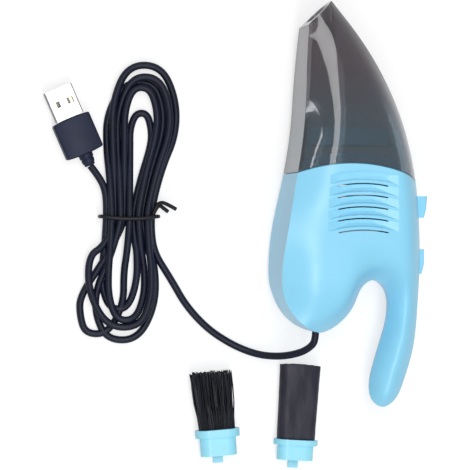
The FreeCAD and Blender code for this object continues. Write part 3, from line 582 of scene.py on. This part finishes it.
def makeGrip():
    wide, long, high = plugSet["size"]
    half = wide / 2 * mm
    slices = plugSet["slices"]
    middle = plugSet["start"] + long / 2
    selectOnly()
    bpy.ops.mesh.primitive_cube_add(size=mm, location=(0, middle * mm, 0), scale=(wide, long, high))
    grip = bpy.context.object
    grip.name = "plugOvermould"
    applyPlace(grip)
    editOn(grip)
    steps = [half * i / slices for i in range(1 - slices, slices)]
    cutAcross(steps, 0)
    for x in steps + [half, -half]:
        share = (x / half) ** 2
        for side in (-1, 1):
            pick(grip, lambda co: abs(co.x - x) < nearby and co.z * side > 0)
            bpy.ops.transform.translate(value=(0, 0, -side * plugSet["crown"] * share * mm))
            pick(grip, lambda co: abs(co.x - x) < nearby and (co.y / mm - middle) * side > 0)
            bpy.ops.transform.translate(value=(0, -side * plugSet["arch"] * share * mm, 0))
    bpy.ops.object.mode_set(mode="OBJECT")
    addModifier(grip, "BEVEL", width=plugSet["edge"] * mm, segments=4, angle_limit=math.radians(50))
    applyModifiers(grip)
    selectOnly(grip, makeRelief())
    bpy.ops.object.join()
    grip.data.transform(placedAt(plugSet["place"], plugSet["turn"]))
    bpy.ops.object.shade_smooth_by_angle(angle=math.radians(35))
    giveMaterial(grip, plugPlastic)
    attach(grip, "casing")
    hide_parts("plug_grip")
    return grip


tieSet = {
    "radius": 0.8,
    "roundness": 4,
    "smoothness": 6,
    # the band round the waist, sagging between the turns on top, and its two ends, in mm
    "band": [(-79.95, 16.6, 9.1), (-72.9, 16.9, 9.0), (-69.1, 17.6, 8.4), (-67.9, 17.6, 6.8),
             (-67.9, 17.6, 2.45), (-68.5, 17.6, 0.85), (-70.9, 17.6, 0.85), (-79.95, 17.6, 0.85),
             (-89.0, 17.6, 0.85), (-91.4, 17.6, 0.85), (-92.0, 17.6, 2.45), (-92.0, 17.6, 6.8),
             (-90.8, 17.6, 8.4), (-87.0, 16.9, 9.0)],
    "ends": [[(-70.2, 18.4, 6.2), (-69.2, 21.6, 6.0), (-67.0, 23.6, 5.4), (-64.0, 22.6, 4.8),
              (-60.4, 20.6, 4.2)],
             [(-70.0, 18.2, 4.6), (-68.8, 21.0, 4.6), (-67.2, 22.3, 4.2), (-65.4, 20.9, 3.6),
              (-63.6, 19.6, 3.2)]],
}


def makeTie():
    tubes = [tubeAlong("hankTieBand", tieSet["band"], tieSet, True)]
    tubes += [tubeAlong("tieEnd", points, tieSet) for points in tieSet["ends"]]
    selectOnly(*tubes)
    bpy.ops.object.convert(target="MESH")
    bpy.ops.object.join()
    tie = bpy.context.object
    bpy.ops.object.shade_smooth_by_angle(angle=math.radians(45))
    giveMaterial(tie, blackPlastic)
    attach(tie, "casing")
    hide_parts("hank_tie")
    return tie


makeCord(makeGrip(), makeTie())
print("cord, plug and tie made")

# the brush's strands

brushSet = {
    "place": (-43.5, -70.0, 5.5),     # mm, the middle of the flange's front face
    "turn": 4.1,                      # degrees
    "columns": 31,
    "rows": 12,
    "root": (14.0, 5.5),
    "tips": (17.0, 7.0),
    "corner": (0.93, 0.75),           # no strand stands further out than both of these shares
    "rootIn": 1.2,                    # the strands start this deep in the base's collar
    "length": 23.3,
    "lengthVary": 1.1,
    "lean": -1.1,                     # the tips stand this far to one side
    "clump": 0.25,                    # the tips are pulled this far into clumps
    "clumpWaves": 19,
    "scatter": 0.16,
    "thick": 0.27,
    "tipShare": 0.6,                  # the tip's thickness, as a share of the strand's
    "sway": 0.45,
    "bends": [(0.25, 0.0), (0.5, 1.0), (0.75, 0.7)],    # share of the length, share of the sway
    "seed": 11,
}


def strandModel():
    long = brushSet["length"] * mm
    selectOnly()
    bpy.ops.mesh.primitive_cylinder_add(vertices=6, radius=brushSet["thick"] * mm, depth=long,
                                        location=(0, long / 2, 0), rotation=(-math.pi / 2, 0, 0))
    strand = bpy.context.object
    strand.name = "brushStrand"
    applyPlace(strand)
    editOn(strand)
    cutAcross([long * part for part, sway in brushSet["bends"]], 1)
    for part, sway in brushSet["bends"]:
        pick(strand, lambda co: abs(co.y - part * long) < nearby)
        bpy.ops.transform.translate(value=(brushSet["sway"] * sway * mm, 0, 0))
    pick(strand, lambda co: co.y > long - nearby)
    bpy.ops.transform.resize(value=(brushSet["tipShare"], 1, brushSet["tipShare"]),
                             center_override=(0, long, 0))
    bpy.ops.object.mode_set(mode="OBJECT")
    bpy.ops.object.shade_smooth_by_angle(angle=math.radians(50))
    return strand


def makeBristles():
    random.seed(brushSet["seed"])
    model = strandModel()
    onBrush = placedAt(brushSet["place"], brushSet["turn"])
    rootWide, rootHigh = brushSet["root"]
    tipWide, tipHigh = brushSet["tips"]
    cornerAcross, cornerUp = brushSet["corner"]
    strands = []
    for column in range(brushSet["columns"]):
        for row in range(brushSet["rows"]):
            # every other row stands half a column on
            across = 2 * (column + 0.5 * (row % 2)) / (brushSet["columns"] - 0.5) - 1
            up = 2 * row / (brushSet["rows"] - 1) - 1
            if abs(across) > cornerAcross and abs(up) > cornerUp:
                continue
            clump = brushSet["clump"] * math.sin(across * brushSet["clumpWaves"] + row)
            vary = random.uniform(-1, 1) * brushSet["lengthVary"] * (0.5 + 0.5 * random.random())
            long = brushSet["length"] + vary
            root = Vector((across * rootWide / 2, -brushSet["rootIn"], up * rootHigh / 2))
            tipX = brushSet["lean"] + across * tipWide / 2 + clump + random.gauss(0, brushSet["scatter"])
            tipZ = up * tipHigh / 2 + random.gauss(0, brushSet["scatter"])
            tip = Vector((tipX, long, max(-tipHigh / 2, min(tipHigh / 2, tipZ))))
            lean = (tip - root).to_track_quat("Y", "Z").to_matrix().to_4x4()
            spin = Matrix.Rotation(random.uniform(0, 2 * math.pi), 4, "Y")
            stretch = Matrix.Diagonal((1, (tip - root).length / brushSet["length"], 1, 1))
            strand = bpy.data.objects.new("brushStrand", model.data.copy())
            strand.data.transform(onBrush @ Matrix.Translation(root * mm) @ lean @ spin @ stretch)
            scene.collection.objects.link(strand)
            strands.append(strand)
    bpy.data.objects.remove(model)
    selectOnly(*strands)
    bpy.ops.object.join()
    piece = bpy.context.object
    piece.name = "brushStrands"
    giveMaterial(piece, bristleNylon)
    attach(piece, "brush")
    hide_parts("brush_bristles")
    return len(strands)


print("brush made,", makeBristles(), "strands")

# the soft flat nozzle

nozzleSet = {
    "place": (-10.4, -74.7, 5.5),     # mm, the middle of the flange's front face
    "turn": -3.7,                     # degrees
    "root": (16.0, 8.4),
    "mouth": (17.2, 7.2),
    "length": 30.8,
    "cuts": (-4.0, -2.9, -1.8, -0.9, 0.9, 1.8, 2.9, 4.0),    # mm across the flat faces
    "rows": 24,
    "arch": 0.35,                     # how far the mouth's middle stands past its corners
    "archSteps": (6.5, 4.0),          # the arch rises inside each of these half widths
    "archFrom": 0.94,                 # share of the length
    "dents": 0.35,
    "dentSize": 6.5,
    "dentLevel": 0.62,                # the texture's tone that moves nothing
    "wall": 1.2,
    "edge": 0.3,
}


def makeNozzle():
    mouthWide, mouthHigh = nozzleSet["mouth"]
    rootWide, rootHigh = nozzleSet["root"]
    rows = nozzleSet["rows"]
    long, small = nozzleSet["length"] * mm, mouthHigh / 2 * mm
    selectOnly()
    bpy.ops.mesh.primitive_cylinder_add(vertices=36, radius=small, depth=long, end_fill_type="NOTHING",
                                        location=(0, long / 2, 0), rotation=(-math.pi / 2, 0, 0))
    piece = bpy.context.object
    piece.name = "softNozzle"
    applyPlace(piece)
    editOn(piece)
    half = (mouthWide / 2 - mouthHigh / 2) * mm
    for side in (-1, 1):
        pick(piece, lambda co: co.x * side > nearby)
        bpy.ops.transform.translate(value=(side * half, 0, 0))
    pick(piece, lambda co: co.y < nearby)
    bpy.ops.transform.resize(value=(rootWide / mouthWide, 1, rootHigh / mouthHigh), center_override=(0, 0, 0))
    cutAcross([x * mm for x in nozzleSet["cuts"]], 0)
    cutAcross([long * i / rows for i in range(1, rows)], 1)
    for reach in nozzleSet["archSteps"]:
        pick(piece, lambda co: co.y > long * nozzleSet["archFrom"] and abs(co.x) < reach * mm)
        bpy.ops.transform.translate(value=(0, nozzleSet["arch"] / 2 * mm, 0))
    bpy.ops.object.mode_set(mode="OBJECT")
    dents = bpy.data.textures.new("nozzleDents", "CLOUDS")
    dents.noise_scale = nozzleSet["dentSize"] * mm
    addModifier(piece, "DISPLACE", texture=dents, strength=nozzleSet["dents"] * mm,
                mid_level=nozzleSet["dentLevel"], texture_coords="LOCAL")
    addModifier(piece, "SOLIDIFY", thickness=nozzleSet["wall"] * mm, offset=-1.0)
    addModifier(piece, "BEVEL", width=nozzleSet["edge"] * mm, segments=2, angle_limit=math.radians(50))
    applyModifiers(piece)
    piece.data.transform(placedAt(nozzleSet["place"], nozzleSet["turn"]))
    bpy.ops.object.shade_smooth_by_angle(angle=math.radians(40))
    giveMaterial(piece, rubber)
    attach(piece, "flat_tool")
    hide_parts("rubber_nozzle")


makeNozzle()
print("soft nozzle made")

# the filter cloth, a pleated cone

clothSet = {
    "centre": (9.4, 53.5, 20.0),      # mm, the middle of its wide end
    "folds": 26,
    "pointsPerFold": 4,
    "foldFrom": 0.3,                  # points further than this from a fold's middle, in folds, go inwards
    "foldDepth": 0.10,                # share of the radius
    # half width, half height and distance from the wide end of each ring
    "rings": [(13.0, 9.0, 0.0), (12.3, 8.5, 1.6), (10.4, 7.2, 3.9), (7.6, 5.3, 6.2), (4.6, 3.3, 8.4),
              (1.7, 1.3, 10.3)],
    "tip": 0.2,                       # how far the closed tip stands past the last ring
    "thick": 0.35,
}


def makeFilterCloth():
    rings = clothSet["rings"]
    rimWide, rimHigh, rimY = rings[0]
    points = clothSet["folds"] * clothSet["pointsPerFold"]
    selectOnly()
    bpy.ops.mesh.primitive_circle_add(vertices=points, radius=mm, fill_type="NOTHING",
                                      rotation=(math.pi / 2, 0, 0))
    piece = bpy.context.object
    piece.name = "filterFleece"
    applyPlace(piece)
    editOn(piece)
    bpy.ops.mesh.select_all(action="SELECT")
    bpy.ops.transform.resize(value=(rimWide, 1, rimHigh), center_override=(0, 0, 0))
    for (wide, high, y), (nextWide, nextHigh, nextY) in zip(rings, rings[1:]):
        bpy.ops.mesh.extrude_edges_move(TRANSFORM_OT_translate={"value": (0, (nextY - y) * mm, 0)})
        bpy.ops.transform.resize(value=(nextWide / wide, 1, nextHigh / high),
                                 center_override=(0, nextY * mm, 0))
    bpy.ops.mesh.extrude_edges_move(TRANSFORM_OT_translate={"value": (0, clothSet["tip"] * mm, 0)})
    bpy.ops.mesh.merge(type="CENTER")

    def isInFold(co):
        turn = math.atan2(co.z / rimHigh, co.x / rimWide) / (2 * math.pi) * clothSet["folds"]
        return abs(turn - round(turn)) > clothSet["foldFrom"] and co.y > rimY * mm + nearby
    pick(piece, isInFold)
    deep = 1 - clothSet["foldDepth"]
    bpy.ops.transform.resize(value=(deep, 1, deep), center_override=(0, 0, 0))
    bpy.ops.mesh.select_all(action="SELECT")
    bpy.ops.mesh.normals_make_consistent(inside=False)
    bpy.ops.object.mode_set(mode="OBJECT")
    addModifier(piece, "SOLIDIFY", thickness=clothSet["thick"] * mm, offset=-1.0)
    addModifier(piece, "SUBSURF", levels=1, render_levels=1)
    applyModifiers(piece)
    piece.data.transform(placedAt(clothSet["centre"], 0))
    bpy.ops.object.shade_smooth()
    giveMaterial(piece, fleece)
    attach(piece, "filter")
    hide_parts("filter_cloth")


makeFilterCloth()
print("filter cloth made")

# the floor, the room and the lamps

stageSet = {
    "floorSize": 6.0,
    "floorColour": (0.86, 0.86, 0.87),
    "floorSeen": (0.42, 0.42, 0.43),  # the floor's own share in what is seen of it; its shadows stay
    "floorGlow": 0.66,
    "worldLevel": 0.31,
    # name, the lamp's two ends in metres, its width, its power
    "strips": [("wideStrip", (-0.084, -0.90, 0.80), (-0.034, 0.51, 0.83), 0.19, 6.1),
               ("thinStrip", (-0.500, 0.188, 0.64), (-0.400, 0.240, 0.64), 0.024, 0.092)],
    "aim": (0.0, 0.03, 0.03),
}


def seenRays(tree):
    # 1 for what the camera, a gloss or a clear plastic sees
    path = tree.nodes.new("ShaderNodeLightPath")
    last = path.outputs["Is Camera Ray"]
    for name in ("Is Glossy Ray", "Is Transmission Ray"):
        last = mathOf(tree, "MAXIMUM", last, path.outputs[name])
    return last


def floorMaterial():
    material, tree, shader = newMaterial("paleFloor")
    seen = seenRays(tree)
    body = mixColours(tree, seen, stageSet["floorColour"], stageSet["floorSeen"])
    tree.links.new(body, shader.inputs["Base Color"])
    shader.inputs["Roughness"].default_value = 1.0
    shader.inputs["Specular IOR Level"].default_value = 0.0
    shader.inputs["Emission Color"].default_value = (1, 1, 1, 1)
    tree.links.new(rangeFrom(tree, seen, 0.0, stageSet["floorGlow"]), shader.inputs["Emission Strength"])
    return material


def makeWorld():
    world = bpy.data.worlds.new("softRoom")
    scene.world = world
    world.use_nodes = True
    tree = world.node_tree
    background = tree.nodes["Background"]
    background.inputs["Color"].default_value = (1, 1, 1, 1)
    level = rangeFrom(tree, seenRays(tree), stageSet["worldLevel"], 1.0)
    tree.links.new(level, background.inputs["Strength"])


def makeLamp(name, start, end, wide, power):
    # a long strip between two points that turns its face to the aim
    start, end = Vector(start), Vector(end)
    along = (end - start).normalized()
    back = (start + end) / 2 - Vector(stageSet["aim"])
    back = (back - along * back.dot(along)).normalized()
    face = Matrix((along.cross(back), along, back)).transposed()
    bpy.ops.object.light_add(type="AREA", location=(start + end) / 2, rotation=face.to_euler())
    lamp = bpy.context.object
    lamp.name = name
    lamp.data.shape = "RECTANGLE"
    lamp.data.size = wide
    lamp.data.size_y = (end - start).length
    lamp.data.energy = power


def makeStage():
    selectOnly()
    bpy.ops.mesh.primitive_plane_add(size=stageSet["floorSize"], location=(0, 0, 0))
    floor = bpy.context.object
    floor.name = "floor"
    giveMaterial(floor, floorMaterial())
    makeWorld()
    for strip in stageSet["strips"]:
        makeLamp(*strip)
    scene.view_settings.view_transform = "Standard"


makeStage()
print("stage made")
